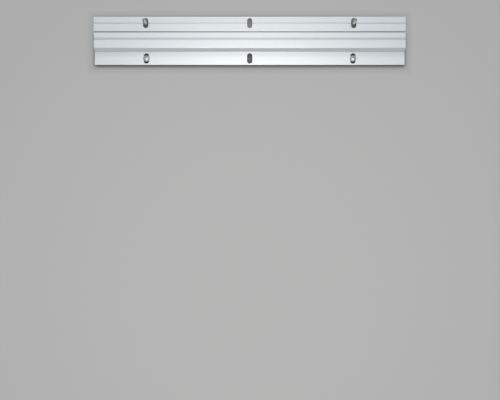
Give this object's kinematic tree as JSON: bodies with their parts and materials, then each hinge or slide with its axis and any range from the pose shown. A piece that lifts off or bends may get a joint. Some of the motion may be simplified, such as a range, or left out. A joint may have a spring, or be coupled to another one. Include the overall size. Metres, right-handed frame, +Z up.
{
  "type": "mirror hanging rail",
  "caption": "Pair of interlocking aluminium hanging rails with slotted flanges and pan head screws: one rail fixes to a wall and the other to the back of a mirror.",
  "frame": {"origin": "on the wall plane, at the centre of the wall rail's middle slot, midway between the two wall screws", "axes": "+X along the rails to the viewer's right, +Y into the wall, +Z up"},
  "size_m": [0.3048, 0.0456, 0.0463],
  "materials": {
    "rail_aluminium": "satin mill finish extrusion",
    "screw_steel": "bright zinc plate"
  },
  "bodies": {
    "root": {"wall_rail": "rail_aluminium", "mirror_rail": "rail_aluminium", "wall_screw_left": "screw_steel", "wall_screw_right": "screw_steel", "mirror_screw_left": "screw_steel", "mirror_screw_right": "screw_steel"}
  },
  "joints": []
}
